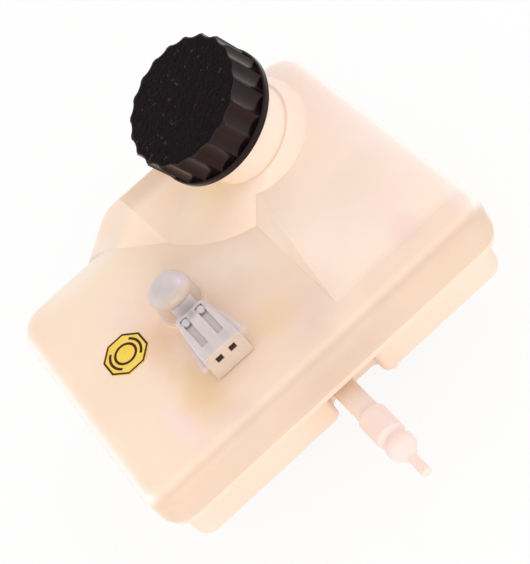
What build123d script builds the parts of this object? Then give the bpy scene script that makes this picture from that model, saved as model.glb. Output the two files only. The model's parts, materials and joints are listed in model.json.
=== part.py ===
from build123d import *
from math import cos, pi, radians, sin
import os

# Brake fluid reservoir: a flat, translucent, two-piece welded tank with a leaning filler neck,
# a fluted screw cap, a level sensor on the roof, a float inside and its outlets underneath.
# Millimetres. X runs along the tank's width, Y towards its back, Z up.
# The origin is on the first outlet's axis, in the plane of the tank's underside.

# Tank plan, seen from above
back_left_x = -85.0
front_left_x = -86.5
front_right_x = 77.5
back_right_x = 71.5
back_y = 75.0
back_left_y = 77.0
front_y = -46.0
front_corner_radius = 12.0
back_corner_radius = 13.0

# Tank heights above the underside, and walls
wall = 2.4
seam_z = 24.0
weld_flange_thickness = 3.5
roof_z = 41.0
roof_edge_radius = 6.6

# Raised right-hand part of the roof: a wedge that falls towards the front, and its left ridge
wedge_rise = 16.5
wedge_front_y = -31.0
wedge_left_x = 13.0
wedge_flank_deg = 50.0
ridge_corner_x = -15.9
ridge_front_y = 50.5
ridge_front_deg = 34.0
ridge_flank_deg = 48.0
ridge_flank_turn_deg = 44.0

# Filler neck and the funnel that carries it, along an axis that leans to the left
neck_lean_deg = 18.7
neck_base_x = 33.92
neck_base_y = 50.0
neck_base_z = 57.32
neck_length = 30.6
neck_radius = 20.5
neck_wall = 2.5
neck_rim_chamfer = 0.6
strainer_ledge_drop = 9.6
strainer_ledge_depth = 1.5
funnel_foot_x = 25.3
funnel_foot_y = 68.0
funnel_foot_radius = 44.8
funnel_top_margin = 1.2

# Cap, with room between it and the neck for both threads
thread_room = 2.9
cap_wall = 3.9
cap_height = 18.5
cap_rim_step = 0.45
cap_rim_height = 3.2
cap_rim_chamfer = 0.6
cap_flutes = 20
cap_flute_depth = 1.3
cap_edge_chamfer = 0.7
cap_ceiling = 2.4
cap_bead = 0.6
cap_clearance = 0.1

# Rubber bellows and vent disc inside the cap
seal_thickness = 1.8
seal_skin = 1.3
seal_clearance = 0.35
bellows_room = 4.0
bellows_depth = 5.5
vent_disc_thickness = 1.2
vent_hole_radius = 1.2
vent_hole_ring = 7.0
vent_holes = 4

# Strainer basket in the neck
strainer_wall = 1.2
strainer_rim_thickness = 1.5
strainer_clearance = 0.1
strainer_gap = 0.4
strainer_depth = 21.0
strainer_taper = 1.2
strainer_slots = 12
strainer_slot_width = 4.0
strainer_slot_height = 13.0

# Lower shell
rim_inset = 0.8
tray_inset = 5.2
tray_edge_radius = 3.6
recess_left_x = -12.0
recess_right_x = 11.0
recess_back_y = -33.5
recess_corner_radius = 2.8
partition_x = 15.0
partition_thickness = 2.0
partition_window_width = 16.0
partition_window_height = 8.0
partition_window_y = 34.0

# Outlets to the master cylinder, and the lug between them that a retaining pin goes through
outlet_spacing = 46.0
outlet_radius = 8.0
outlet_bore_radius = 5.2
outlet_straight = 12.0
outlet_lead_in = 1.6
outlet_length = 16.5
lug_width = 10.0
lug_depth = 14.0
lug_height = 15.0
lug_bore_radius = 3.1
lug_bore_drop = 9.0

# Hose nipple, with its tip moulded shut
nipple_x = -5.0
nipple_z = 11.0
nipple_root_radius = 4.8
nipple_root_end_y = -57.4
nipple_barrel_radius = 6.0
nipple_barrel_length = 13.0
nipple_waist_radius = 4.4
nipple_ball_radius = 5.9
nipple_ball_length = 12.0
nipple_tip_radius = 2.1
nipple_tip_length = 8.9
nipple_edge = 0.9
nipple_ball_place = 0.35
nipple_bore_radius = 2.8

# Level sensor: a well in the roof, a round head over it and a two-pin connector in front
sensor_x = -28.5
sensor_y = 20.0
well_radius = 5.6
well_bore_radius = 4.2
well_bottom_z = 7.0
sensor_head_radius = 8.8
sensor_head_height = 14.6
sensor_dome_radius = 4.5
sensor_boss_radius = 10.6
sensor_boss_height = 1.6
connector_front_y = -21.0
connector_back_y = 3.0
connector_width = 17.0
connector_back_width = 14.2
connector_taper_y = -15.0
connector_height = 12.6
connector_edge_radius = 1.2
connector_lift = 0.4
waist_width = 9.4
waist_height = 8.6
lobe_radius = 2.3
lobe_spacing = 8.8
lobe_length = 4.5
lobe_reach = 2.6
lobe_z = 9.4
groove_width = 3.0
groove_depth = 1.6
groove_spacing = 7.4
groove_length = 17.0
fin_reach = 2.4
fin_start_y = -20.2
fin_z = 9.6
fin_thickness = 2.2
socket_size = 2.9
socket_spacing = 6.2
socket_z = 8.9
socket_depth = 9.0
terminal_width = 1.8
terminal_thickness = 0.8
terminal_set_back = 3.0

# Sensor stem with the reed switch potted inside
stem_clearance = 0.15
stem_wall = 0.9
reed_radius = 1.2
reed_length = 14.0
reed_offset = 0.8
reed_bottom_z = 12.0
lead_radius = 0.3

# Float round the well, its ring magnet and cover, the clip that stops it and the fence round it
float_radius = 13.5
float_height = 12.0
float_clearance = 0.5
float_wall = 1.6
float_rest_gap = 0.3
magnet_width = 1.8
magnet_height = 4.0
float_cover_thickness = 1.6
clip_radius = 8.6
clip_thickness = 1.2
clip_z = 8.2
clip_lugs = 6
clip_slot = 1.2
fence_clearance = 1.5
fence_wall = 1.6
fence_height = 14.0
fence_gap = 9.0

# Octagonal label on the low part of the roof
label_x = -57.0
label_y = 20.9
label_across_flats = 18.3
label_thickness = 0.3

big = 400.0
over = 1.0

lean = radians(neck_lean_deg)
neck_frame = Plane(
    origin=(neck_base_x, neck_base_y, neck_base_z),
    x_dir=(cos(lean), 0, sin(lean)), z_dir=(-sin(lean), 0, cos(lean)))
neck_bore_radius = neck_radius - neck_wall
bellows_radius = neck_bore_radius - bellows_room
neck_ledge = neck_length - strainer_ledge_drop
throat_radius = neck_bore_radius - strainer_ledge_depth
tray_top_z = seam_z - weld_flange_thickness

# The cap's heights are taken along the neck's axis from its base
cap_inner_radius = neck_radius + thread_room
cap_ridge_radius = cap_inner_radius + cap_wall
cap_rim_radius = cap_ridge_radius + cap_rim_step
seal_base = neck_length + cap_clearance
vent_disc_base = seal_base + seal_thickness
cap_ceiling_start = vent_disc_base + vent_disc_thickness + cap_clearance
cap_start = cap_ceiling_start + cap_ceiling - cap_height


def half_space(point, normal, inset):
    """A large block on the side of a plane that the normal points to, with the plane drawn back by an inset."""
    return Plane(origin=point, z_dir=normal) * Pos(0, 0, big / 2 - inset) * Box(big, big, big)


def plan(inset):
    """The tank's outline seen from above, drawn in by an inset."""
    front = [(front_left_x, front_y), (front_right_x, front_y)]
    back = [(back_right_x, back_y), (back_left_x, back_left_y)]
    outline = Polygon(*front, *back, align=None)
    if inset:
        outline = offset(outline, -inset, kind=Kind.INTERSECTION)
    corners = outline.vertices().sort_by(Axis.Y)
    outline = fillet(corners[:2], front_corner_radius - inset)
    corners = outline.vertices().sort_by(Axis.Y)[-2:]
    return fillet(corners, back_corner_radius - inset)


def wedge_z(y, inset):
    """Height of the raised roof at a place along the tank's depth."""
    return roof_z - inset + wedge_rise * (y - wedge_front_y) / (back_y - wedge_front_y)


def raised_roof(inset):
    """The wedge on the right, and the ridge that ends it on the left at the back."""
    near_y = front_y - back_corner_radius
    far_y = back_y + back_corner_radius
    side = Plane.YZ * Polygon(
        (near_y, seam_z), (near_y, wedge_z(near_y, inset)),
        (far_y, wedge_z(far_y, inset)), (far_y, seam_z), align=None)
    block = extrude(side, big / 2, both=True)
    flank = radians(wedge_flank_deg)
    wedge = block - half_space((wedge_left_x, 0, roof_z), (-sin(flank), 0, cos(flank)), inset)
    corner = (ridge_corner_x, ridge_front_y, roof_z)
    front = radians(ridge_front_deg)
    flank = radians(ridge_flank_deg)
    turn = radians(ridge_flank_turn_deg)
    ridge = block - half_space(corner, (0, -sin(front), cos(front)), inset)
    ridge -= half_space(corner, (-cos(turn) * sin(flank), -sin(turn) * sin(flank), cos(flank)), inset)
    return wedge + ridge


def funnel(inset):
    """The funnel from a round foot on the roof up to the neck's leaning circle."""
    foot = Pos(funnel_foot_x, funnel_foot_y, roof_z - inset) * Circle(funnel_foot_radius - inset)
    top = neck_frame * Pos(0, 0, -inset) * Circle(neck_radius + funnel_top_margin - inset)
    return loft([foot, top])


def body_form(inset):
    """The upper shell's form without the neck, drawn in by an inset and open towards the seam."""
    bottom = seam_z - (over if inset else 0)
    slab = extrude(Pos(0, 0, bottom) * plan(inset), roof_z - inset - bottom)
    slab = fillet(slab.edges().group_by(Axis.Z)[-1], roof_edge_radius - inset)
    tall = extrude(Pos(0, 0, bottom) * plan(inset), big / 4)
    raised = tall & raised_roof(inset)
    top = raised.faces().sort_by(Axis.Z)[-1]
    raised = fillet(wall_edges(raised, top), roof_edge_radius - inset)
    return slab + raised + (tall & funnel(inset))


def wall_edges(block, top):
    """The edges that a top face shares with upright walls."""
    walls = [f for f in block.faces() if abs(f.normal_at().Z) < 0.01]
    return [e for e in top.edges() if any(shares(e, w) for w in walls)]


def shares(edge, face):
    """Whether the middle of an edge lies on a face."""
    return face.distance_to(edge @ 0.5) < 0.001


def ring(outer, inner, height):
    """A flat ring standing on its plane."""
    return extrude(Circle(outer) - Circle(inner), height)


def disc(radius, height):
    """A plain round block standing on its plane."""
    return extrude(Circle(radius), height)


def turned(points):
    """A solid turned about the Z axis from a profile of radius and height."""
    return revolve(Plane.XZ * Polygon(*points, align=None), Axis.Z)


def make_upper_shell():
    """Roof, raised wedge, funnel, neck, sensor well and the ribs under the roof."""
    outer = body_form(0)
    inner = body_form(wall)
    neck = neck_frame * turned([
        (0, -over), (neck_radius, -over), (neck_radius, neck_length - neck_rim_chamfer),
        (neck_radius - neck_rim_chamfer, neck_length), (0, neck_length)])
    boss = Pos(sensor_x, sensor_y, roof_z - over) * disc(sensor_boss_radius, sensor_boss_height + over)
    shell = outer + neck + boss - inner
    bore_start = -wall - 2 * over
    bore = neck_frame * turned([
        (0, bore_start), (throat_radius, bore_start), (throat_radius, neck_ledge),
        (neck_bore_radius, neck_ledge), (neck_bore_radius, neck_length + over), (0, neck_length + over)])
    rib = Pos(partition_x, (front_y + back_y) / 2, seam_z) * Box(
        partition_thickness, back_y - front_y, big / 4, align=(Align.CENTER, Align.CENTER, Align.MIN))
    rib &= body_form(wall - over / 2)
    rib -= Pos(partition_x, partition_window_y, seam_z) * Box(
        big / 4, partition_window_width, 2 * partition_window_height)
    well = Pos(sensor_x, sensor_y, well_bottom_z) * disc(well_radius, roof_z - well_bottom_z - wall / 2)
    hole = Pos(sensor_x, sensor_y, well_bottom_z + wall / 2) * disc(well_bore_radius, big / 4)
    return shell + rib + well - bore - hole


def make_lower_shell():
    """Welded tray with its flange, front recess, outlets, lug, nipple, partition and float fence."""
    notch = Pos((recess_left_x + recess_right_x) / 2, (front_y + recess_back_y) / 2) * Rectangle(
        recess_right_x - recess_left_x, recess_back_y - front_y)
    outline = plan(tray_inset) - notch
    inner_corners = [v for v in outline.vertices()
                     if recess_left_x - over < v.X < recess_right_x + over and v.Y < recess_back_y + over]
    outline = fillet(inner_corners, recess_corner_radius)
    tray = extrude(outline, seam_z)
    tray = fillet(tray.edges().group_by(Axis.Z)[0], tray_edge_radius)
    hollow = extrude(Pos(0, 0, wall) * offset(outline, -wall), seam_z)
    hollow = fillet(hollow.edges().group_by(Axis.Z)[0], tray_edge_radius - wall)
    flange = extrude(Pos(0, 0, tray_top_z) * plan(rim_inset), weld_flange_thickness)
    shell = tray + flange - hollow
    partition = Pos(partition_x, (front_y + back_y) / 2, wall / 2) * Box(
        partition_thickness, back_y - front_y, seam_z - wall / 2, align=(Align.CENTER, Align.CENTER, Align.MIN))
    partition &= extrude(outline, seam_z)
    partition -= Pos(partition_x, partition_window_y, seam_z) * Box(
        big / 4, partition_window_width, 2 * partition_window_height)
    shell += partition
    fence_inner = float_radius + fence_clearance
    fence = ring(fence_inner + fence_wall, fence_inner, fence_height)
    fence -= Box(big, fence_gap, big) + Box(fence_gap, big, big)
    shell += Pos(sensor_x, sensor_y, wall / 2) * fence
    for x in (0, outlet_spacing):
        shell += Pos(x, 0, 0) * outlet()
        shell -= Pos(x, 0, -outlet_length - over) * disc(outlet_bore_radius, outlet_length + wall + 2 * over)
    shell += retaining_lug()
    shell += nipple(nipple_outline())
    return shell - nipple(nipple_bore())


def outlet():
    """A plain stub under the tank, with a lead-in chamfer for the master cylinder's grommet."""
    return turned([
        (0, wall / 2), (outlet_radius, wall / 2), (outlet_radius, -outlet_straight),
        (outlet_radius - outlet_lead_in, -outlet_length), (0, -outlet_length)])


def retaining_lug():
    """The rounded lug between the outlets, with its cross bore."""
    side = Plane.XZ * (Pos(0, -lug_bore_drop) * Circle(lug_width / 2) + Polygon(
        (-lug_width / 2, -lug_bore_drop), (lug_width / 2, -lug_bore_drop),
        (lug_width / 2 + 1.5, wall / 2), (-lug_width / 2 - 1.5, wall / 2), align=None))
    side -= Plane.XZ * Pos(0, -lug_bore_drop) * Circle(lug_bore_radius)
    return Pos(outlet_spacing / 2, 0, 0) * extrude(side, lug_depth / 2, both=True)


def nipple(edges):
    """A turned form laid along the nipple's axis, which runs forward out of the recess's wall."""
    frame = Plane(origin=(nipple_x, recess_back_y, nipple_z), x_dir=(1, 0, 0), z_dir=(0, -1, 0))
    return frame * revolve(Plane.XZ * make_face(edges), Axis.Z)


def nipple_outline():
    """Half the nipple's section: root, barrel, waist, ball and the tip moulded shut."""
    root_end = recess_back_y - nipple_root_end_y
    barrel_end = root_end + nipple_barrel_length
    ball_end = barrel_end + nipple_ball_length
    tip_end = ball_end + nipple_tip_length
    waist = barrel_end + 2 * nipple_edge
    bulge = waist + (ball_end - waist) * nipple_ball_place
    line = Polyline(
        (0, -wall / 2), (nipple_root_radius, -wall / 2), (nipple_root_radius, root_end - nipple_edge),
        (nipple_barrel_radius, root_end), (nipple_barrel_radius, barrel_end - nipple_edge),
        (nipple_barrel_radius - nipple_edge, barrel_end), (nipple_waist_radius, waist - nipple_edge),
        (nipple_waist_radius, waist))
    ball = Spline(
        (nipple_waist_radius, waist), (nipple_ball_radius, bulge), (nipple_tip_radius, ball_end),
        tangents=((1, 0.6), (-0.6, 1)))
    tip = Polyline(
        (nipple_tip_radius, ball_end), (nipple_tip_radius, tip_end - nipple_edge / 2),
        (nipple_tip_radius - nipple_edge / 2, tip_end), (0, tip_end), (0, -wall / 2))
    return line + ball + tip


def nipple_bore():
    """Half the section of the bore, which ends blind inside the ball."""
    end = recess_back_y - nipple_root_end_y + nipple_barrel_length + nipple_ball_length / 2
    start = -wall - over
    return Polyline((0, start), (nipple_bore_radius, start), (nipple_bore_radius, end), (0, end), close=True)


def make_filler_cap():
    """Cup with a smooth rim, scooped flutes that meet in ridges and a bead that keeps the seal in."""
    body = disc(cap_ridge_radius, cap_height)
    body = chamfer(body.edges().sort_by(Axis.Z)[-1], cap_edge_chamfer)
    half_pitch = pi / cap_flutes
    half_chord = cap_ridge_radius * sin(half_pitch)
    scoop_radius = (half_chord ** 2 + cap_flute_depth ** 2) / (2 * cap_flute_depth)
    scoop_place = cap_ridge_radius * cos(half_pitch) - cap_flute_depth + scoop_radius
    scoop = Pos(scoop_place, 0, cap_rim_height) * disc(scoop_radius, cap_height)
    body -= [Rot(0, 0, 360 * n / cap_flutes) * scoop for n in range(cap_flutes)]
    rim = disc(cap_rim_radius, cap_rim_height)
    rim = chamfer(rim.edges(), cap_rim_chamfer)
    cup = body + rim - Pos(0, 0, -over) * disc(cap_inner_radius, cap_height - cap_ceiling + over)
    bead_top = neck_length - cap_start
    cup += Pos(0, 0, bead_top - 2 * cap_bead) * ring(cap_inner_radius + cap_bead, cap_inner_radius - cap_bead,
                                                     cap_bead)
    return neck_frame * Pos(0, 0, cap_start) * cup


def make_cap_seal():
    """Rubber ring that sits on the neck's rim, with a folded bellows in its middle."""
    base = seal_base
    edge = cap_inner_radius - seal_clearance
    fold_out = bellows_radius + seal_skin
    fold_in = bellows_radius - 2 * seal_skin
    bottom = base - bellows_depth
    return neck_frame * turned([
        (edge, base), (edge, base + seal_thickness), (fold_out, base + seal_thickness),
        (bellows_radius, bottom + seal_skin), (fold_in + seal_skin, bottom + seal_skin),
        (fold_in, base + seal_thickness), (0, base + seal_thickness),
        (0, base + seal_thickness - seal_skin), (fold_in - seal_skin, base + seal_thickness - seal_skin),
        (fold_in, bottom), (bellows_radius + seal_skin / 2, bottom), (fold_out + seal_skin, base)])


def make_cap_vent_disc():
    """Plastic disc between the seal and the cap's ceiling, with its vent holes."""
    plate = disc(cap_inner_radius - seal_clearance, vent_disc_thickness)
    hole = Pos(vent_hole_ring, 0, -over) * disc(vent_hole_radius, vent_disc_thickness + 2 * over)
    plate -= [Rot(0, 0, 360 * n / vent_holes) * hole for n in range(vent_holes)]
    return neck_frame * Pos(0, 0, vent_disc_base) * plate


def make_strainer():
    """Tapered basket that hangs by its rim from the ledge in the neck."""
    top = throat_radius - strainer_gap
    foot = top - strainer_taper
    bottom = neck_ledge - strainer_depth
    basket = turned([
        (foot, bottom), (top, neck_ledge), (neck_bore_radius - strainer_clearance, neck_ledge),
        (neck_bore_radius - strainer_clearance, neck_ledge + strainer_rim_thickness),
        (top - strainer_wall, neck_ledge + strainer_rim_thickness),
        (foot - strainer_wall, bottom + strainer_wall), (0, bottom + strainer_wall), (0, bottom)])
    slot = Pos(0, 0, bottom + 2 * strainer_wall) * Box(
        big, strainer_slot_width, strainer_slot_height, align=(Align.MIN, Align.CENTER, Align.MIN))
    basket -= [Rot(0, 0, 360 * n / strainer_slots) * slot for n in range(strainer_slots)]
    return neck_frame * basket


def terminal(side):
    """One connector pin: a blade along the socket and a tail down towards the reed switch."""
    x = sensor_x + side * socket_spacing / 2
    z = roof_z + socket_z
    start = connector_front_y + terminal_set_back
    inner_edge = x - side * terminal_width / 2
    end = sensor_y + terminal_thickness / 2
    blade = Pos(x, start, z) * Box(
        terminal_width, end - start, terminal_thickness, align=(Align.CENTER, Align.MIN, Align.CENTER))
    tail_bottom = roof_z + sensor_boss_height
    tail = Pos(inner_edge + side * terminal_thickness / 2, sensor_y, tail_bottom) * Box(
        terminal_thickness, terminal_thickness, z - tail_bottom, align=(Align.CENTER, Align.CENTER, Align.MIN))
    return blade + tail


def make_sensor_housing():
    """Round domed head, narrow waist with two lobes, and the connector with its two sockets."""
    base = roof_z + sensor_boss_height
    bottom = roof_z + connector_lift
    head = disc(sensor_head_radius, sensor_head_height - sensor_boss_height)
    head = fillet(head.edges().sort_by(Axis.Z)[-1], sensor_dome_radius)
    housing = Pos(sensor_x, sensor_y, base) * head
    front = connector_width / 2
    back = connector_back_width / 2
    outline = Polygon(
        (-front, connector_front_y), (front, connector_front_y), (front, connector_taper_y),
        (back, connector_back_y), (-back, connector_back_y), (-front, connector_taper_y), align=None)
    block = extrude(Pos(sensor_x, 0, bottom) * outline, connector_height)
    top_edges = block.edges().group_by(Axis.Z)[-1]
    block = fillet([e for e in top_edges if abs((e % 0).Y) > 0.5], connector_edge_radius)
    waist = Pos(sensor_x, connector_back_y - over, base) * Box(
        waist_width, sensor_y - connector_back_y, waist_height, align=(Align.CENTER, Align.MIN, Align.MIN))
    housing += block + waist
    for side in (-1, 1):
        lobe = Cylinder(lobe_radius, lobe_length, rotation=(90, 0, 0))
        lobe = chamfer(lobe.edges(), lobe_radius / 4)
        housing += Pos(sensor_x + side * lobe_spacing / 2, connector_back_y + lobe_reach - lobe_length / 2,
                       roof_z + lobe_z) * lobe
        fin = Polygon(
            (0, fin_start_y), (side * (front + fin_reach), fin_start_y), (side * back, connector_back_y - over),
            (0, connector_back_y - over), align=None)
        housing += extrude(Pos(sensor_x, 0, roof_z + fin_z) * fin, fin_thickness)
        groove = Pos(sensor_x + side * groove_spacing / 2, connector_back_y - groove_length / 2 - over,
                     bottom + connector_height) * Box(groove_width, groove_length, 2 * groove_depth)
        housing -= groove
        housing -= Pos(sensor_x + side * socket_spacing / 2, connector_front_y, roof_z + socket_z) * Box(
            socket_size, 2 * socket_depth, socket_size)
        housing -= terminal(side)
    return housing


def make_sensor_stem():
    """Thin tube that reaches down the well from the head, closed at its foot."""
    radius = well_bore_radius - stem_clearance
    bottom = well_bottom_z + wall / 2 + stem_clearance
    top = roof_z + sensor_boss_height
    tube = Pos(sensor_x, sensor_y, bottom) * disc(radius, top - bottom)
    return tube - Pos(sensor_x, sensor_y, bottom + stem_wall) * disc(radius - stem_wall, big / 4)


def wire(points):
    """A round wire along a path with sharp bends."""
    path = Polyline(*points)
    return sweep(Plane(origin=path @ 0, z_dir=path % 0) * Circle(lead_radius), path, transition=Transition.RIGHT)


def reed_leads():
    """The two wires that enter the glass from its ends, each up to its own terminal's tail."""
    reed_x = sensor_x + reed_offset
    tail_x = socket_spacing / 2 - terminal_width / 2 + terminal_thickness / 2
    top = roof_z + sensor_boss_height
    middle = reed_bottom_z + reed_length / 2
    lowest = reed_bottom_z - 3 * lead_radius
    highest = reed_bottom_z + reed_length + 6 * lead_radius
    side = lead_radius * 1.1
    lower = wire([
        (reed_x - side, sensor_y, middle + lead_radius), (reed_x - side, sensor_y, lowest),
        (sensor_x - tail_x, sensor_y, lowest), (sensor_x - tail_x, sensor_y, top)])
    upper = wire([
        (reed_x + side, sensor_y, middle - lead_radius), (reed_x + side, sensor_y, highest),
        (sensor_x + tail_x, sensor_y, highest + 3 * lead_radius), (sensor_x + tail_x, sensor_y, top)])
    return lower, upper


def make_reed_capsule(leads):
    """Glass tube with sealed ends round the two reeds."""
    glass = disc(reed_radius, reed_length)
    seal = 2 * reed_radius
    glass -= Pos(0, 0, seal) * disc(reed_radius * 0.68, reed_length - 2 * seal)
    glass = Pos(sensor_x + reed_offset, sensor_y, reed_bottom_z) * glass
    return glass - leads[0] - leads[1]


def make_reed_potting(leads):
    """Resin that fills the stem round the glass and its wires."""
    radius = well_bore_radius - stem_clearance - stem_wall
    bottom = well_bottom_z + wall / 2 + stem_clearance + stem_wall
    fill = Pos(sensor_x, sensor_y, bottom) * disc(radius, roof_z - bottom)
    glass = Pos(sensor_x + reed_offset, sensor_y, reed_bottom_z) * disc(reed_radius, reed_length)
    return fill - glass - leads[0] - leads[1]


def float_base():
    """Height of the float's underside when it rests on its clip."""
    return clip_z + clip_thickness + float_rest_gap


def make_float_body():
    """Ring with a deep groove for the magnet and the air."""
    inner = well_radius + float_clearance
    body = ring(float_radius, inner, float_height - float_cover_thickness)
    groove = ring(float_radius - float_wall, inner + float_wall, float_height)
    return Pos(sensor_x, sensor_y, float_base()) * (body - Pos(0, 0, float_wall) * groove)


def make_float_magnet():
    """Ring magnet in the bottom of the float's groove."""
    inner = well_radius + float_clearance + float_wall
    return Pos(sensor_x, sensor_y, float_base() + float_wall) * ring(inner + magnet_width, inner, magnet_height)


def make_float_cover():
    """Flat ring that closes the float's groove."""
    place = float_base() + float_height - float_cover_thickness
    inner = well_radius + float_clearance
    return Pos(sensor_x, sensor_y, place) * ring(float_radius, inner, float_cover_thickness)


def make_float_clip():
    """Slotted spring ring pushed onto the well's foot, which the float comes down on."""
    clip = ring(clip_radius, well_radius, clip_thickness)
    slot = Pos(well_radius - over, 0, 0) * Box(
        (clip_radius - well_radius) / 2 + over, clip_slot, 4 * clip_thickness,
        align=(Align.MIN, Align.CENTER, Align.CENTER))
    clip -= [Rot(0, 0, 360 * n / clip_lugs) * slot for n in range(clip_lugs)]
    return Pos(sensor_x, sensor_y, clip_z) * clip


def make_octagon_label():
    """Thin eight-sided label that lies flat on the roof."""
    shape = RegularPolygon(label_across_flats / 2, 8, major_radius=False, rotation=22.5)
    return Pos(label_x, label_y, roof_z) * extrude(shape, label_thickness)


def make_parts():
    """Every piece of the reservoir by its name."""
    leads = reed_leads()
    return {
        "upper_shell": make_upper_shell(),
        "lower_shell": make_lower_shell(),
        "filler_cap": make_filler_cap(),
        "cap_seal": make_cap_seal(),
        "cap_vent_disc": make_cap_vent_disc(),
        "strainer_basket": make_strainer(),
        "sensor_housing": make_sensor_housing(),
        "terminal_left": terminal(-1),
        "terminal_right": terminal(1),
        "sensor_stem": make_sensor_stem(),
        "reed_capsule": make_reed_capsule(leads),
        "reed_lead_lower": leads[0],
        "reed_lead_upper": leads[1],
        "reed_potting": make_reed_potting(leads),
        "float_body": make_float_body(),
        "float_magnet": make_float_magnet(),
        "float_cover": make_float_cover(),
        "float_clip": make_float_clip(),
        "octagon_label": make_octagon_label(),
    }


os.makedirs("parts", exist_ok=True)
for name, piece in make_parts().items():
    export_step(piece, f"parts/{name}.step")
    print(name, round(piece.volume, 1), "mm3", len(piece.solids()), "solid")
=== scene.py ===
import json
from math import ceil, cos, hypot, pi, radians, sin, tau

import bpy
from mathutils import Matrix, Vector, noise


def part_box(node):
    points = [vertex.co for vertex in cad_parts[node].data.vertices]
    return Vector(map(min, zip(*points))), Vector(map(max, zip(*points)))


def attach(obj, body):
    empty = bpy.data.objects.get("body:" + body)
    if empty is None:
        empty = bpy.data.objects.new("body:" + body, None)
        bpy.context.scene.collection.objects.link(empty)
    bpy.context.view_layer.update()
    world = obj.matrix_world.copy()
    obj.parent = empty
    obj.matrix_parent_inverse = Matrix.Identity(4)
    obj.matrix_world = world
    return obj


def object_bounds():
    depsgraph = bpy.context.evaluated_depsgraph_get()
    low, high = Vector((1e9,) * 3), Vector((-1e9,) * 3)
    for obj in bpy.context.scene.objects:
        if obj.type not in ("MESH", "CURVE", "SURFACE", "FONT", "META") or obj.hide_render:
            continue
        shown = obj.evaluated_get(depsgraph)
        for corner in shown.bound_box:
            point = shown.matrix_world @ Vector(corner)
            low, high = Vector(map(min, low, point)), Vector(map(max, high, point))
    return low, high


# Looks of the brake fluid reservoir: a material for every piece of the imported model, nine fine
# pieces, the floor, the light and the camera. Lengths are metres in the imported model's frame, or
# millimetres where a name says so.

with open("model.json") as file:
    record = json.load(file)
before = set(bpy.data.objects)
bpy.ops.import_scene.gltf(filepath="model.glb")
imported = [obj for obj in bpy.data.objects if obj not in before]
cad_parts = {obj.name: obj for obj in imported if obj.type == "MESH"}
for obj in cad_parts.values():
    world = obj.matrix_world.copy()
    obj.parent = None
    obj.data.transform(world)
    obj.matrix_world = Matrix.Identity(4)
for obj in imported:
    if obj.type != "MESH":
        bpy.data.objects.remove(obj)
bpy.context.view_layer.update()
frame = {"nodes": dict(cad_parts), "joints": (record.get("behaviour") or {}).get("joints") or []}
nodes = frame["nodes"]

MM = 0.001


# Helpers for meshes

# Threads and printed bands have four corners in section
SECTION_CORNERS = 4


def add_mesh(name, points, faces, body, material, smooth=False):
    """A piece of its own from points and faces, riding on a body."""
    mesh = bpy.data.meshes.new(name)
    mesh.from_pydata([tuple(point) for point in points], [], faces)
    mesh.validate()
    mesh.materials.append(material)
    if smooth:
        mesh.shade_smooth()
    piece = bpy.data.objects.new(name, mesh)
    bpy.context.collection.objects.link(piece)
    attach(piece, body)


def tube_faces(rows, columns, closed_rows=False):
    """Faces of a grid whose columns close round, with end caps unless its rows close too."""
    faces = []
    for row in range(rows if closed_rows else rows - 1):
        here = row * columns
        there = (row + 1) % rows * columns
        for column in range(columns):
            beside = (column + 1) % columns
            faces.append((here + column, here + beside, there + beside, there + column))
    if not closed_rows:
        faces.append(tuple(reversed(range(columns))))
        faces.append(tuple(range((rows - 1) * columns, rows * columns)))
    return faces


# Helpers for shader nodes

# The mix node's places for its factor, its two colours and its result
MIX_FACTOR = 0
MIX_FIRST = 6
MIX_SECOND = 7
MIX_RESULT = 2


def new_node(tree, kind, inputs=None, **settings):
    """A shader node, each of whose inputs is linked to a socket or set to a plain value."""
    node = tree.nodes.new("ShaderNode" + kind)
    for setting, value in settings.items():
        setattr(node, setting, value)
    for key, value in (inputs or {}).items():
        if isinstance(value, bpy.types.NodeSocket):
            tree.links.new(value, node.inputs[key])
        else:
            node.inputs[key].default_value = value
    return node


def math_step(tree, operation, *values):
    """A step of arithmetic on sockets or numbers."""
    return new_node(tree, "Math", dict(enumerate(values)), operation=operation).outputs[0]


def vector_step(tree, operation, *values):
    """A step of vector arithmetic; a vector's length comes out as a number."""
    node = new_node(tree, "VectorMath", dict(enumerate(values)), operation=operation)
    return node.outputs["Value" if operation == "LENGTH" else "Vector"]


def parts_of(tree, vector):
    """A vector's X, Y and Z."""
    return new_node(tree, "SeparateXYZ", {0: vector}).outputs


def place(tree):
    """Where a point lies in its piece's own coordinates."""
    return new_node(tree, "TexCoord").outputs["Object"]


def facing(tree):
    """How far a surface faces along X, Y and Z."""
    return parts_of(tree, new_node(tree, "NewGeometry").outputs["Normal"])


def fade(tree, value, start, end):
    """0 up to a start and 1 past an end, with a soft rise between; the end may be the lower one."""
    falls = start > end
    node = new_node(tree, "MapRange", {
        "Value": value, "From Min": min(start, end), "From Max": max(start, end),
        "To Min": float(falls), "To Max": float(not falls)}, interpolation_type="SMOOTHSTEP")
    return node.outputs["Result"]


def blend(tree, colour, factor, tone, how="MULTIPLY"):
    """A colour multiplied by, or mixed with, a tone where a factor is high."""
    node = new_node(
        tree, "Mix", {MIX_FACTOR: factor, MIX_FIRST: colour, MIX_SECOND: (*tone, 1.0)},
        data_type="RGBA", blend_type=how)
    return node.outputs[MIX_RESULT]


def mix_shaders(tree, factor, first, second):
    """One surface where a factor is 0 and another where it is 1."""
    return new_node(tree, "MixShader", {0: factor, 1: first, 2: second}).outputs["Shader"]


# Helpers for materials

# Noise turns from one colour to the other between these values
NOISE_SPAN = (0.3, 0.7)
# Gloss changes this many times as often as colour does
GLOSS_PACE = 3
GRAIN_DETAIL = 2.0
GRAIN_STRENGTH = 0.6


def new_material(name):
    """A node material with its tree and main shader."""
    material = bpy.data.materials.new(name)
    material.use_nodes = True
    tree = material.node_tree
    return material, tree, tree.nodes["Principled BSDF"]


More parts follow.
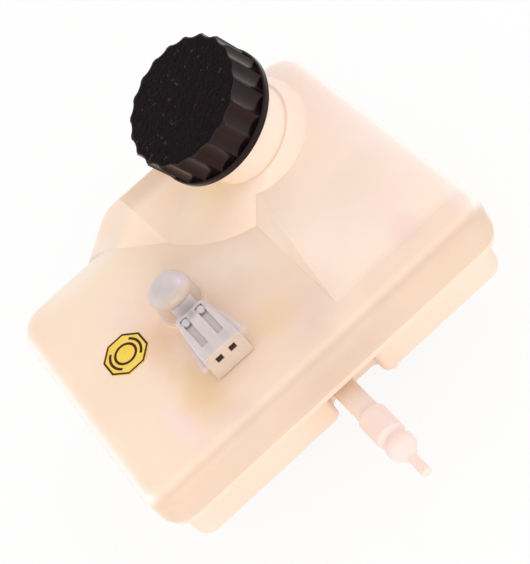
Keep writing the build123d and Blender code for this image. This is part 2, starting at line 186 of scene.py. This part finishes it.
def noise_value(tree, size_mm, detail=3.0):
    """Noise between 0 and 1 whose patches are about a size wide."""
    inputs = {"Vector": place(tree), "Scale": 1 / (size_mm * MM), "Detail": detail}
    return new_node(tree, "TexNoise", inputs).outputs["Fac"]


def ramp(tree, value, low, high):
    """A colour between two, driven by noise."""
    node = new_node(tree, "ValToRGB", {"Fac": value})
    for stop, position, colour in zip(node.color_ramp.elements, NOISE_SPAN, (low, high)):
        stop.position = position
        stop.color = (*colour, 1.0)
    return node.outputs["Color"]


def grey(value):
    """A colour with three equal parts."""
    return (value, value, value)


def grain(tree, shader, size_mm, height_mm):
    """Fine relief of a size and a height."""
    relief = new_node(tree, "Bump", {
        "Height": noise_value(tree, size_mm, GRAIN_DETAIL),
        "Distance": height_mm * MM, "Strength": GRAIN_STRENGTH})
    tree.links.new(relief.outputs["Normal"], shader.inputs["Normal"])


def plastic(name, low, high, rough, patch_mm, grain_mm=0.8, grain_height_mm=0.02, **sockets):
    """Moulded plastic: slightly uneven colour and gloss, and a fine grain."""
    material, tree, shader = new_material(name)
    colour = ramp(tree, noise_value(tree, patch_mm), low, high)
    gloss = ramp(tree, noise_value(tree, patch_mm / GLOSS_PACE), grey(rough[0]), grey(rough[1]))
    tree.links.new(colour, shader.inputs["Base Color"])
    tree.links.new(gloss, shader.inputs["Roughness"])
    grain(tree, shader, grain_mm, grain_height_mm)
    for socket, value in sockets.items():
        shader.inputs[socket.replace("_", " ")].default_value = value
    return material


# Each shape of patch: how far its edge wanders, and where it ends and is full, in its own reaches
PATCH_EDGES = {
    "round": (0.5, 1.25, 0.4),
    "square": (0.3, 1.3, 0.95),
    "box": (0.0, 1.01, 0.99),
}
WANDER_MM = 12.0
# How far a surface has turned forward, along Y, where the painted tone on forward faces begins and is
# full
FRONT_TURN = (-0.25, -0.7)


def reach_from(tree, centre_mm, reach_mm, square=False):
    """Distance from a place, in reaches along each axis; the largest of the three when square."""
    away = vector_step(tree, "SUBTRACT", place(tree), [value * MM for value in centre_mm])
    scaled = vector_step(tree, "DIVIDE", away, [value * MM for value in reach_mm])
    if not square:
        return vector_step(tree, "LENGTH", scaled)
    x, y, z = parts_of(tree, vector_step(tree, "ABSOLUTE", scaled))
    return math_step(tree, "MAXIMUM", math_step(tree, "MAXIMUM", x, y), z)


def near_place(tree, centre_mm, reach_mm, shape="round"):
    """1 at a place and 0 beyond its reach along each axis; only a box has a crisp, even edge."""
    wander, end, full = PATCH_EDGES[shape]
    distance = reach_from(tree, centre_mm, reach_mm, square=shape != "round")
    if wander:
        stray = math_step(tree, "MULTIPLY", noise_value(tree, WANDER_MM), wander)
        distance = math_step(tree, "ADD", distance, stray)
    return fade(tree, distance, end, full)


def base_colour(material):
    """A material's tree, shader and the socket that its colour comes from."""
    tree = material.node_tree
    shader = tree.nodes["Principled BSDF"]
    return tree, shader, shader.inputs["Base Color"].links[0].from_socket


def recolour(material, patches, front_lighting_tone=None):
    """Adds soft patches, and a painted light tone on what faces forward."""
    tree, shader, colour = base_colour(material)
    for centre_mm, reach_mm, tone, *shape in patches:
        colour = blend(tree, colour, near_place(tree, centre_mm, reach_mm, *shape), tone)
    if front_lighting_tone:
        colour = blend(tree, colour, fade(tree, facing(tree)["Y"], *FRONT_TURN), front_lighting_tone)
    tree.links.new(colour, shader.inputs["Base Color"])


# The tank's outline in plan, and the band of it, in half widths, that counts as its edge
TANK_MIDDLE_MM = (-4.5, 15.0, 41.0)
TANK_HALF_MM = (81.0, 61.0, 400.0)
EDGE_BAND = (0.82, 0.89)
# How level a surface is where the rounded rim begins, and where it runs out into the wall
RIM_BEGINS = (0.995, 0.66)
RIM_RUNS_OUT = (-0.1, 0.6)


def edge_light_and_shade(material, rim_light_tone, front_lighting_tone):
    """Painted light on the rounded edge of the roof, and painted shade on the wall in front."""
    tree, shader, colour = base_colour(material)
    turned = facing(tree)
    outer = fade(tree, reach_from(tree, TANK_MIDDLE_MM, TANK_HALF_MM, square=True), *EDGE_BAND)
    front_shade_mask = math_step(tree, "MULTIPLY", outer, fade(tree, turned["Y"], *FRONT_TURN))
    level = math_step(tree, "ABSOLUTE", turned["Z"])
    off_level = fade(tree, level, *RIM_BEGINS)
    rounded = math_step(tree, "MULTIPLY", off_level, fade(tree, level, *RIM_RUNS_OUT))
    rim_light_mask = math_step(tree, "MULTIPLY", outer, rounded)
    colour = blend(tree, colour, math_step(tree, "SUBTRACT", rim_light_mask, front_shade_mask), rim_light_tone, "MIX")
    colour = blend(tree, colour, front_shade_mask, front_lighting_tone)
    tree.links.new(colour, shader.inputs["Base Color"])


# Patches: a centre and a reach along each axis in millimetres, a tone that multiplies the colour,
# and a shape where it isn't round

# Painted shade where the float, its fence and the partition inside dim the light through the roof,
# and two paler patches of painted light between them
SHADE_AND_LIGHT_THROUGH_ROOF = [
    ((-21, -2, 41), (34, 44, 14), (0.96, 0.955, 0.985), "square"),
    ((7, -24, 41), (20, 22, 12), (0.935, 0.935, 0.965)),
    ((-44, -18, 41), (15, 24, 12), (0.935, 0.87, 0.68)),
    ((-45, 13, 41), (12, 17, 12), (0.915, 0.84, 0.72)),
    ((-8, -15, 41), (19, 14, 12), (0.98, 0.95, 0.82)),
    ((-58, -23, 41), (8, 21, 12), (1.0, 0.985, 1.10)),
    ((-40, -37, 41), (15, 11, 8), (0.945, 0.925, 0.955)),
    ((-46, 42, 41), (21, 17, 8), (1.0, 1.005, 1.05)),
    ((-3, -33, 41), (15, 10, 8), (0.96, 0.955, 0.96)),
    ((-44, -1, 41), (11, 12, 8), (0.95, 0.95, 0.90)),
]

# Duller places in front of the wedge and on its foot
WEDGE_SHADE = [
    ((49, 3, 47), (24, 15, 10), (0.935, 0.968, 0.945)),
    ((47, -12, 46), (26, 18, 12), (0.965, 0.96, 0.965)),
    ((50, -37, 41), (28, 8, 8), (0.96, 0.945, 0.965), "square"),
    ((49, -28, 42), (12, 9, 8), (0.955, 0.92, 0.96)),
]

# Painted light: paler places beside the wedge, to the right of the sensor's head, and on the ridge
ROOF_LIGHT = [
    ((6, 14, 41), (18, 20, 10), (1.09, 1.13, 1.17)),
    ((-12, 22, 41), (22, 20, 8), (1.06, 1.09, 1.13)),
    ((2, 50, 48), (15, 12, 10), (1.05, 1.045, 1.03)),
]

# Painted shade on the front wall; painted light on the edges at the back and on the right and over
# the whole wedge; and painted warm light on the funnel's foot
EDGE_AND_WEDGE_LIGHT_AND_SHADE = [
    ((0, -44, 33), (42, 8, 20), (0.94, 0.94, 0.945)),
    ((-48, 77, 41), (46, 20, 8), (1.0, 1.10, 1.21)),
    ((48, 72, 62), (40, 21, 15), (1.0, 1.10, 1.23)),
    ((75, -36, 40), (12, 15, 12), (1.0, 1.06, 1.16)),
    ((76, 18, 50), (22, 66, 20), (1.01, 1.035, 1.14)),
    ((22, 46, 54), (34, 26, 20), (1.03, 1.02, 0.90)),
    ((50, 23, 55), (36, 55, 26), (1.0, 1.03, 1.12), "square"),
]

# Painted light on the nipple and its root, which lie in shade, and painted shade on the front recess
# that the nipple stands in
NIPPLE_LIGHT_AND_FRONT_SHADE = [
    ((-5, -72, 11), (14, 32, 14), (1.03, 1.05, 1.22)),
    ((-5, -53, 11), (9, 16, 10), (1.05, 1.16, 1.28)),
    ((-4, -40, 12), (34, 9, 26), (0.96, 0.93, 0.87)),
]

# The sensor's middle plane, and how far its two sockets, and its grooves with their knobs, lie to
# either side of it
SENSOR_X_MM = -28.5
SOCKET_ASIDE_MM = 3.1
KNOB_ASIDE_MM = 3.7
KNOB_LEFT_X_MM = SENSOR_X_MM - KNOB_ASIDE_MM
KNOB_RIGHT_X_MM = SENSOR_X_MM + KNOB_ASIDE_MM

# Painted shade inside the connector's two sockets, at the sensor's waist, between the knobs, round
# each knob, at the grooves' front ends and over the left of the domed head, and a painted highlight
# on the head's upper right
SENSOR_SHADE_AND_HIGHLIGHT = [
    ((SENSOR_X_MM - SOCKET_ASIDE_MM, -14, 49.9), (1.7, 6.8, 1.7), (0.30, 0.22, 0.18), "box"),
    ((SENSOR_X_MM + SOCKET_ASIDE_MM, -14, 49.9), (1.7, 6.8, 1.7), (0.30, 0.22, 0.18), "box"),
    ((SENSOR_X_MM, 7.0, 50), (7, 5.5, 8), (0.66, 0.65, 0.66)),
    ((SENSOR_X_MM, 1.2, 54), (2.6, 3.4, 2.5), (0.70, 0.68, 0.67)),
    ((KNOB_RIGHT_X_MM, 0.4, 53.2), (3.3, 3.9, 3.0), (0.66, 0.66, 0.70)),
    ((KNOB_LEFT_X_MM, 0.4, 53.2), (3.3, 3.9, 3.0), (0.66, 0.66, 0.70)),
    ((KNOB_RIGHT_X_MM, -17, 54), (2.2, 5, 2), (0.90, 0.89, 0.93)),
    ((KNOB_LEFT_X_MM, -17, 54), (2.2, 5, 2), (0.90, 0.89, 0.90)),
    ((-34, 15, 47), (9, 8, 7), (0.95, 0.92, 0.86)),
    ((-22.5, 17.5, 55), (6, 6, 5), (1.14, 1.10, 1.20)),
    ((-31, 17, 54), (7, 8, 6), (0.93, 0.95, 0.93)),
]

# The space inside the label's ring
LABEL_TONES = [((-57, 20.9, 41), (6, 6, 4), (1.03, 1.02, 0.62))]


# Materials

TANK_LOOK = dict(
    rough=(0.34, 0.48), patch_mm=45.0, grain_mm=1.6, grain_height_mm=0.03, Specular_IOR_Level=0.35,
    Subsurface_Weight=0.35, Subsurface_Radius=(1.0, 0.9, 0.8), Subsurface_Scale=0.0015)

tank_plastic = plastic("tank_plastic", (0.95, 0.73, 0.575), (0.97, 0.765, 0.61), **TANK_LOOK)
recolour(tank_plastic, SHADE_AND_LIGHT_THROUGH_ROOF + WEDGE_SHADE + ROOF_LIGHT + EDGE_AND_WEDGE_LIGHT_AND_SHADE)
# Painted light on the roof's rounded edges and painted shade on the front wall
edge_light_and_shade(tank_plastic, rim_light_tone=(0.985, 0.925, 0.88), front_lighting_tone=(0.81, 0.785, 0.755))

# The lower shell is the same plastic as the upper shell; its darker colour is painted shade on its
# walls
tray_plastic_shaded = plastic("tray_plastic_shaded", (0.90, 0.69, 0.56), (0.92, 0.72, 0.595), **TANK_LOOK)
recolour(tray_plastic_shaded, NIPPLE_LIGHT_AND_FRONT_SHADE)

cap_plastic = plastic(
    "cap_plastic", (0.006, 0.0024, 0.0028), (0.010, 0.0044, 0.0050), rough=(0.12, 0.24),
    patch_mm=9.0, grain_mm=0.5, grain_height_mm=0.008, Specular_IOR_Level=0.27,
    Specular_Tint=(1.0, 0.72, 0.77, 1.0))

cap_top_plastic = plastic(
    "cap_top_plastic", (0.003, 0.0018, 0.002), (0.007, 0.0042, 0.0048), rough=(0.3, 0.55),
    patch_mm=2.2, grain_mm=0.9, grain_height_mm=0.04, Specular_IOR_Level=0.05,
    Specular_Tint=(1.0, 0.70, 0.75, 1.0))

rubber = plastic(
    "rubber", (0.015, 0.015, 0.016), (0.028, 0.028, 0.028), rough=(0.6, 0.8), patch_mm=6.0,
    grain_mm=0.6)

white_plastic = plastic(
    "white_plastic", (0.80, 0.78, 0.74), (0.86, 0.85, 0.82), rough=(0.3, 0.42), patch_mm=10.0,
    Subsurface_Weight=0.2, Subsurface_Radius=(1.0, 0.9, 0.8), Subsurface_Scale=0.001)

sensor_plastic = plastic(
    "sensor_plastic", (0.70, 0.605, 0.61), (0.76, 0.67, 0.675), rough=(0.12, 0.26), patch_mm=9.0,
    grain_mm=1.6, grain_height_mm=0.01, Transmission_Weight=0.10, IOR=1.46, Subsurface_Weight=0.4,
    Subsurface_Radius=(1.0, 0.95, 0.9), Subsurface_Scale=0.0015)
# Painted reflection of the tank's warm colour on the sensor's forward faces
recolour(sensor_plastic, SENSOR_SHADE_AND_HIGHLIGHT, front_lighting_tone=(1.0, 0.935, 0.77))

knob_plastic = plastic(
    "knob_plastic", (0.66, 0.63, 0.65), (0.76, 0.73, 0.75), rough=(0.05, 0.12), patch_mm=2.0,
    grain_mm=0.6, grain_height_mm=0.01, Transmission_Weight=0.25, IOR=1.46)

resin = plastic(
    "resin", (0.05, 0.04, 0.035), (0.08, 0.07, 0.06), rough=(0.3, 0.5), patch_mm=3.0, grain_mm=0.5)

ferrite = plastic(
    "ferrite", (0.03, 0.03, 0.033), (0.06, 0.06, 0.065), rough=(0.5, 0.7), patch_mm=2.0,
    grain_mm=0.3)

tin = plastic(
    "tin", (0.24, 0.17, 0.12), (0.36, 0.27, 0.20), rough=(0.22, 0.38), patch_mm=2.0, grain_mm=0.3,
    grain_height_mm=0.005, Metallic=1.0)

wire_metal = plastic(
    "wire_metal", (0.50, 0.50, 0.52), (0.66, 0.66, 0.68), rough=(0.2, 0.35), patch_mm=1.5,
    grain_mm=0.2, grain_height_mm=0.003, Metallic=1.0)

reed_glass = plastic(
    "reed_glass", (0.72, 0.88, 0.78), (0.80, 0.92, 0.84), rough=(0.02, 0.08), patch_mm=4.0,
    grain_mm=1.0, grain_height_mm=0.002, Transmission_Weight=0.85, IOR=1.5)

label_yellow = plastic(
    "label_yellow", (0.87, 0.58, 0.075), (0.94, 0.67, 0.11), rough=(0.35, 0.5), patch_mm=6.0,
    grain_mm=0.6, grain_height_mm=0.006)
recolour(label_yellow, LABEL_TONES)

label_ink = plastic(
    "label_ink", (0.042, 0.015, 0.002), (0.062, 0.024, 0.003), rough=(0.35, 0.5), patch_mm=2.0,
    grain_mm=0.4, grain_height_mm=0.004, Specular_IOR_Level=0.15)

node_materials = {
    "upper_shell": tank_plastic,
    "lower_shell": tray_plastic_shaded,
    "filler_cap": cap_plastic,
    "cap_seal": rubber,
    "cap_vent_disc": white_plastic,
    "strainer_basket": white_plastic,
    "sensor_housing": sensor_plastic,
    "terminal_left": tin,
    "terminal_right": tin,
    "sensor_stem": sensor_plastic,
    "reed_capsule": reed_glass,
    "reed_lead_lower": wire_metal,
    "reed_lead_upper": wire_metal,
    "reed_potting": resin,
    "float_body": white_plastic,
    "float_magnet": ferrite,
    "float_cover": white_plastic,
    "float_clip": white_plastic,
    "octagon_label": label_yellow,
}
for name, material in node_materials.items():
    for slot in nodes[name].material_slots:
        slot.material = material


# The neck's frame: its base point and axis are those of the cap's turning joint

cap_joint = next(joint for joint in frame["joints"] if joint["name"] == "cap_turn")
neck_base = Vector(cap_joint["pos_m"])
neck_axis = Vector(cap_joint["axis"]).normalized()
neck_across = Vector((0, 1, 0)).cross(neck_axis).normalized()
neck_side = neck_axis.cross(neck_across)


def on_neck(radius_mm, angle, along_mm):
    """A point at a radius, an angle and a height along the neck's axis."""
    out = neck_across * cos(angle) + neck_side * sin(angle)
    return neck_base + out * (radius_mm * MM) + neck_axis * (along_mm * MM)


# Screw threads on the neck and inside the cap

THREAD_LEAD_MM = 8.0
THREAD_STARTS = 2
THREAD_STEPS = 72
# Half widths of a ridge at its root and at its crest
RIDGE_FOOT_MM = 0.85
RIDGE_TOP_MM = 0.4
# A ridge swells from its least height and width over one eighth of its length at either end
TAPERS_IN_LENGTH = 8
LEAST_HEIGHT = 0.1
LEAST_WIDTH = 0.3
NECK_THREAD = dict(root_mm=20.35, crest_mm=22.2, low_mm=14.6, high_mm=22.0, phase_mm=0.0)
CAP_THREAD = dict(root_mm=23.55, crest_mm=21.7, low_mm=15.6, high_mm=21.6, phase_mm=2.0)


def thread(name, body, slot, material, root_mm, crest_mm, low_mm, high_mm, phase_mm):
    """Ridges that wind up an axis, thinner at both ends."""
    points = []
    faces = []
    steps = ceil((high_mm - low_mm) / THREAD_LEAD_MM * THREAD_STEPS)
    for start in range(THREAD_STARTS):
        first = len(points)
        for step in range(steps + 1):
            along = low_mm + (high_mm - low_mm) * step / steps
            angle = tau * (along + phase_mm) / THREAD_LEAD_MM + tau * start / THREAD_STARTS
            taper = min(1.0, TAPERS_IN_LENGTH * min(step, steps - step) / steps)
            top = root_mm + (crest_mm - root_mm) * max(taper, LEAST_HEIGHT)
            width = max(taper, LEAST_WIDTH)
            for radius, half in (
                    (root_mm, -RIDGE_FOOT_MM), (top, -RIDGE_TOP_MM),
                    (top, RIDGE_TOP_MM), (root_mm, RIDGE_FOOT_MM)):
                points.append(on_neck(radius, angle, along + half * width))
        ridge = tube_faces(steps + 1, SECTION_CORNERS)
        faces += [tuple(first + corner for corner in face) for face in ridge]
    add_mesh(name, points, faces, body, material)


thread("neck_thread", "tank", "natural_polypropylene", tank_plastic, **NECK_THREAD)
thread("cap_thread", "cap", "black_plastic", cap_plastic, **CAP_THREAD)


# Pebbled face on the cap, inside the tips of its flutes

# The cap's foot above the neck's base point, and its height
CAP_FOOT_MM = 11.7
CAP_HEIGHT_MM = 18.5
CAP_TOP_MM = CAP_FOOT_MM + CAP_HEIGHT_MM
FACE_RADIUS_MM = 26.15
FACE_LIFT_MM = 0.02
FACE_SINK_MM = 0.3
EDGE_SINK_MM = 0.05
# The underside's outline beside the face's
UNDERSIDE_SHARE = 0.99
FLUTES = 20
FLUTE_SINK_MM = 0.85
FLUTE_SHARPNESS = 1.4
# Rings lie a step apart, and each has a whole number of groups of points, up to those of the edge
RING_STEP_MM = 0.32
EDGE_COLUMNS = 480
COLUMN_GROUP = 12
PEBBLE_SIZE_MM = 1.05
PEBBLE_HEIGHT_MM = 0.13
PEBBLE_STEEPNESS = 1.7
PEBBLE_ROUNDNESS = 0.7
SWELL_SIZE_MM = 2.4
SWELL_HEIGHT_MM = 0.04
# The slice of noise that the slow swell is read from
SWELL_LAYER = 5.0
# The round mark near the middle, where the moulding's gate was
GATE_AT_MM = (0.6, -0.4)
GATE_RADIUS_MM = 1.3
GATE_HEIGHT_MM = 0.10
GATE_FLATNESS = 4


def pebble(radius_mm, angle):
    """Height of the pebbles, or of the gate's mark, at a place on the face."""
    x = radius_mm * cos(angle)
    y = radius_mm * sin(angle)
    nearest = noise.voronoi(Vector((x / PEBBLE_SIZE_MM, y / PEBBLE_SIZE_MM, 0.0)))[0][0]
    dome = max(0.0, 1.0 - PEBBLE_STEEPNESS * nearest) ** PEBBLE_ROUNDNESS
    swell = noise.noise(Vector((x / SWELL_SIZE_MM, y / SWELL_SIZE_MM, SWELL_LAYER)))
    from_gate = hypot(x - GATE_AT_MM[0], y - GATE_AT_MM[1]) / GATE_RADIUS_MM
    gate = max(0.0, 1.0 - from_gate ** GATE_FLATNESS)
    pebbles = PEBBLE_HEIGHT_MM * dome + SWELL_HEIGHT_MM * swell
    return FACE_LIFT_MM + (1 - gate) * pebbles + GATE_HEIGHT_MM * gate


def face_edge(angle):
    """The face's outline: drawn in at each flute."""
    turned = angle * FLUTES / tau
    return FACE_RADIUS_MM - FLUTE_SINK_MM * abs(cos(pi * turned)) ** FLUTE_SHARPNESS


def joined_rings(inner, outer):
    """Triangles between two closed rings of points, the outer of which may have more points."""
    faces = []
    near = 0
    far = 0
    while near < len(inner) or far < len(outer):
        corners = (inner[near % len(inner)], outer[far % len(outer)])
        inner_done = near == len(inner)
        outer_behind = (far + 1) * len(inner) <= (near + 1) * len(outer)
        if far < len(outer) and (inner_done or outer_behind):
            far += 1
            faces.append((*corners, outer[far % len(outer)]))
        else:
            near += 1
            faces.append((*corners, inner[near % len(inner)]))
    return faces


def add_ring(points, count, share, height_mm=None):
    """Adds a ring at a share of the face's outline, pebbled unless a height is given."""
    ring = range(len(points), len(points) + count)
    for column in range(count):
        angle = tau * column / count
        radius = face_edge(angle) * share
        height = pebble(radius, angle) if height_mm is None else height_mm
        points.append(on_neck(radius, angle, CAP_TOP_MM + height))
    return ring


def pebbled_face():
    """A thin disc of rings round a middle point, pebbled on top and flat below."""
    points = [on_neck(0, 0, CAP_TOP_MM + pebble(0.0, 0.0))]
    rings = int(FACE_RADIUS_MM / RING_STEP_MM)
    rows = []
    for ring in range(1, rings):
        groups = max(1, EDGE_COLUMNS * ring // rings // COLUMN_GROUP)
        rows.append(add_ring(points, groups * COLUMN_GROUP, ring / rings))
    edge = add_ring(points, EDGE_COLUMNS, 1.0, -EDGE_SINK_MM)
    rows.append(edge)
    under_middle = len(points)
    points.append(on_neck(0, 0, CAP_TOP_MM - FACE_SINK_MM))
    under_edge = add_ring(points, EDGE_COLUMNS, UNDERSIDE_SHARE, -FACE_SINK_MM)
    first = rows[0]
    faces = [(0, first[column], first[(column + 1) % len(first)]) for column in range(len(first))]
    for inner, outer in zip(rows, rows[1:]):
        faces += joined_rings(inner, outer)
    for column in range(EDGE_COLUMNS):
        beside = (column + 1) % EDGE_COLUMNS
        faces.append((edge[column], under_edge[column], under_edge[beside], edge[beside]))
        faces.append((under_middle, under_edge[beside], under_edge[column]))
    add_mesh("cap_pebble_face", points, faces, "cap", cap_top_plastic, smooth=True)


pebbled_face()


# Two glassy knobs at the back ends of the connector's grooves

KNOB_Y_MM = 0.0
KNOB_FOOT_MM = 53.0
KNOB_HALF_MM = (1.8, 1.95, 1.6)
KNOB_RINGS = 9
KNOB_SPOKES = 28
# How a knob's top is rounded, and how far its four sides are drawn in
KNOB_CROWN = 0.7
KNOB_DRAWN_IN = 0.06


def knob(name, x_mm):
    """A rounded pad: steep at its foot, crowned on top, and drawn in a little on its four sides."""
    across, along, tall = KNOB_HALF_MM
    points = []
    for ring in range(KNOB_RINGS):
        rise = pi / 2 * ring / KNOB_RINGS
        for spoke in range(KNOB_SPOKES):
            turned = tau * spoke / KNOB_SPOKES
            spread = cos(rise) ** KNOB_CROWN * (1 - KNOB_DRAWN_IN * cos(2 * turned) ** 2)
            points.append((
                (x_mm + across * spread * cos(turned)) * MM,
                (KNOB_Y_MM + along * spread * sin(turned)) * MM,
                (KNOB_FOOT_MM + tall * sin(rise)) * MM))
    faces = tube_faces(KNOB_RINGS, KNOB_SPOKES)
    add_mesh(name, points, faces, "tank", knob_plastic, smooth=True)


knob("sensor_knob_left", KNOB_LEFT_X_MM)
knob("sensor_knob_right", KNOB_RIGHT_X_MM)


# Printed brake symbol on the label: border, ring and two side arcs

label_low, label_high = (Vector(corner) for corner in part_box("octagon_label"))
label_centre = (label_low + label_high) / 2
label_top = label_high.z
label_flat = (label_high.x - label_low.x) / 2
INK_PROUD = 0.04 * MM
INK_SUNK = 0.05 * MM
OCTAGON_SIDES = 8
# The border's inner and outer line, inwards from the label's edge
BORDER_IN_MM = (0.85, 0.06)
RING_RADII_MM = (3.95, 5.05)
RING_STEPS = 64
ARC_RADII_MM = (6.2, 7.3)
ARC_HALF_DEG = 47
ARC_STEPS = 24
# Ends of an outline closer than this are one point
SAME_POINT = 1e-9


def ink_band(name, inner, outer):
    """A flat printed band between two outlines seen from above; closed when their ends meet."""
    closed = (inner[0] - inner[-1]).length < SAME_POINT
    if closed:
        inner = inner[:-1]
        outer = outer[:-1]
    points = []
    for near, far in zip(inner, outer):
        for spot, z in ((near, -INK_SUNK), (far, -INK_SUNK), (far, INK_PROUD), (near, INK_PROUD)):
            points.append(Vector((label_centre.x + spot.x, label_centre.y + spot.y, label_top + z)))
    faces = tube_faces(len(inner), SECTION_CORNERS, closed_rows=closed)
    add_mesh(name, points, faces, "tank", label_ink)


def octagon(flat):
    """Corners of an octagon with its flats along X and Y, the first one twice."""
    corner = flat / cos(pi / OCTAGON_SIDES)
    turns = [tau * (side + 0.5) / OCTAGON_SIDES for side in range(OCTAGON_SIDES + 1)]
    return [Vector((cos(turn), sin(turn))) * corner for turn in turns]


def arc(radius_mm, start_deg, end_deg, steps):
    """Points along an arc about the label's centre."""
    turns = [radians(start_deg + (end_deg - start_deg) * step / steps) for step in range(steps + 1)]
    return [Vector((cos(turn), sin(turn))) * radius_mm * MM for turn in turns]


def printed_arc(name, radii_mm, middle_deg, half_deg, steps):
    """A band along an arc, as far to one side of its middle as to the other."""
    lines = [arc(radius, middle_deg - half_deg, middle_deg + half_deg, steps) for radius in radii_mm]
    ink_band(name, *lines)


ink_band("label_border", *(octagon(label_flat - inwards * MM) for inwards in BORDER_IN_MM))
printed_arc("label_ring", RING_RADII_MM, middle_deg=180, half_deg=180, steps=RING_STEPS)
printed_arc("label_arc_right", ARC_RADII_MM, middle_deg=0, half_deg=ARC_HALF_DEG, steps=ARC_STEPS)
printed_arc("label_arc_left", ARC_RADII_MM, middle_deg=180, half_deg=ARC_HALF_DEG, steps=ARC_STEPS)


# Floor, white from above and clear from below, so that the underside can be seen

FLOOR_DROP = 0.004
FLOOR_REACH = 4.0
FLOOR_GREY = 0.93
FLOOR_ROUGHNESS = 0.9
FLOOR_SHEEN = 0.1
# How much of the floor's white glows by itself where it is looked at, mirrored or seen through
FLOOR_GLOW = 0.88


def floor_surface(tree, shader):
    """The floor's pale shader with a glow over it, and nothing seen from below."""
    rays = new_node(tree, "LightPath").outputs
    indirect = math_step(tree, "MAXIMUM", rays["Is Glossy Ray"], rays["Is Transmission Ray"])
    seen = math_step(tree, "MAXIMUM", rays["Is Camera Ray"], indirect)
    share = math_step(tree, "MULTIPLY", seen, FLOOR_GLOW)
    glow = new_node(tree, "Emission", {"Strength": 1.0}).outputs["Emission"]
    top = mix_shaders(tree, share, shader.outputs["BSDF"], glow)
    clear = new_node(tree, "BsdfTransparent").outputs["BSDF"]
    below = new_node(tree, "NewGeometry").outputs["Backfacing"]
    return mix_shaders(tree, below, top, clear)


def floor_corners():
    """Corners of a wide square just below the part."""
    floor_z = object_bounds()[0][2] - FLOOR_DROP
    signs = ((-1, -1), (1, -1), (1, 1), (-1, 1))
    return [(x * FLOOR_REACH, y * FLOOR_REACH, floor_z) for x, y in signs]


floor_mesh = bpy.data.meshes.new("floor")
floor_mesh.from_pydata(floor_corners(), [], [(0, 1, 2, 3)])
floor = bpy.data.objects.new("floor", floor_mesh)
bpy.context.collection.objects.link(floor)
floor_material, floor_tree, floor_shader = new_material("floor_material")
floor_shader.inputs["Base Color"].default_value = (*grey(FLOOR_GREY), 1.0)
floor_shader.inputs["Roughness"].default_value = FLOOR_ROUGHNESS
floor_shader.inputs["Specular IOR Level"].default_value = FLOOR_SHEEN
floor_tree.links.new(
    floor_surface(floor_tree, floor_shader), floor_tree.nodes["Material Output"].inputs["Surface"])
floor_mesh.materials.append(floor_material)


# World: even studio light, stronger near the horizon, and white where the camera looks past the floor

SKY_TINT = (1.0, 0.985, 0.97, 1.0)
HORIZON_LIGHT = 1.3
OVERHEAD_LIGHT = 0.77
WHITE = (1.0, 1.0, 1.0, 1.0)


def sky_strength(tree):
    """The sky's light by height: full at the horizon and less overhead."""
    height = parts_of(tree, new_node(tree, "TexCoord").outputs["Generated"])["Z"]
    levels = {"Value": height, "To Min": HORIZON_LIGHT, "To Max": OVERHEAD_LIGHT}
    return new_node(tree, "MapRange", levels).outputs["Result"]


def light_world(world):
    """Sets up the world's light and what the camera sees of it."""
    world.use_nodes = True
    tree = world.node_tree
    tree.nodes.clear()
    sky = new_node(tree, "Background", {"Color": SKY_TINT, "Strength": sky_strength(tree)})
    white = new_node(tree, "Background", {"Color": WHITE, "Strength": 1.0})
    seen = new_node(tree, "LightPath").outputs["Is Camera Ray"]
    surface = mix_shaders(tree, seen, sky.outputs["Background"], white.outputs["Background"])
    new_node(tree, "OutputWorld", {"Surface": surface})


bpy.context.scene.world = bpy.data.worlds.new("studio")
light_world(bpy.context.scene.world)


# Lamps: a small one behind on the right, and a wide one in front

def area_light(name, place_at, aim, size, power):
    """A soft square lamp."""
    lamp = bpy.data.lights.new(name, "AREA")
    lamp.shape = "SQUARE"
    lamp.size = size
    lamp.energy = power
    lamp_object = bpy.data.objects.new(name, lamp)
    lamp_object.location = place_at
    lamp_object.rotation_euler = (Vector(aim) - Vector(place_at)).to_track_quat("-Z", "Y").to_euler()
    bpy.context.collection.objects.link(lamp_object)


area_light("key", place_at=(0.45, 0.35, 0.75), aim=(0.0, 0.0, 0.03), size=0.2, power=0.5)
area_light("fill", place_at=(-0.25, -0.95, 0.4), aim=(0.0, 0.0, 0.04), size=0.6, power=2.4)


# Camera: where the photograph was taken from, turned in its frame as the photograph is

CAMERA_AT = Vector((-0.0305, -0.4047, 0.4802))
CAMERA_AIM = Vector((0.0, 0.0, 0.041))
CAMERA_ROLL = radians(39.18)
LENS = 102.1
SENSOR = 36.0
CLIP_START = 0.01


def camera_turning():
    """The camera's axes: its right, its up and its back, rolled about the line of sight."""
    back = (CAMERA_AT - CAMERA_AIM).normalized()
    level = Vector((0, 0, 1)).cross(back).normalized()
    upright = back.cross(level)
    right = level * cos(CAMERA_ROLL) - upright * sin(CAMERA_ROLL)
    up = level * sin(CAMERA_ROLL) + upright * cos(CAMERA_ROLL)
    return Matrix((right, up, back)).transposed().to_4x4()


camera_data = bpy.data.cameras.new("camera")
camera_data.lens = LENS
camera_data.sensor_width = SENSOR
camera_data.sensor_height = SENSOR
camera_data.clip_start = CLIP_START
camera = bpy.data.objects.new("camera", camera_data)
camera.matrix_world = Matrix.Translation(CAMERA_AT) @ camera_turning()
bpy.context.collection.objects.link(camera)
bpy.context.scene.camera = camera
bpy.context.scene.view_settings.view_transform = "Standard"
